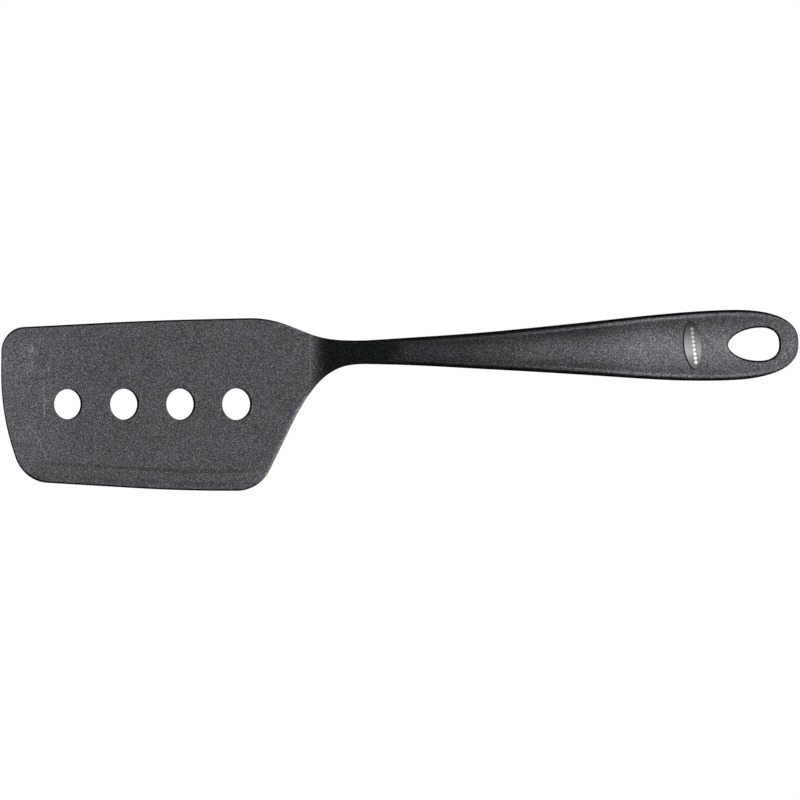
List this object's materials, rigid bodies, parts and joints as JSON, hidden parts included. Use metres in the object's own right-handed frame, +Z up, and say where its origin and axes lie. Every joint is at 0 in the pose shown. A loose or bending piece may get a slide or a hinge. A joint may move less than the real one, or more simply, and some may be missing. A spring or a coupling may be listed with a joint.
{
  "type": "grill spatula",
  "caption": "One-hand turner with a thin angled perforated blade, a narrow neck, a long dished grip and an egg-shaped hanging eye.",
  "frame": {"origin": "bottom centre of the box around the whole tool as it lies on a table", "axes": "+X from the blade's front edge towards the hanging eye, +Y across towards the blade's near long edge, +Z up"},
  "size_m": [0.295, 0.067, 0.0503],
  "materials": {
    "blade_nylon": "matte",
    "handle_nylon": "satin",
    "badge_gloss": "gloss"
  },
  "bodies": {
    "root": {"blade": "blade_nylon", "handle": "handle_nylon", "badge": "badge_gloss"}
  },
  "joints": []
}
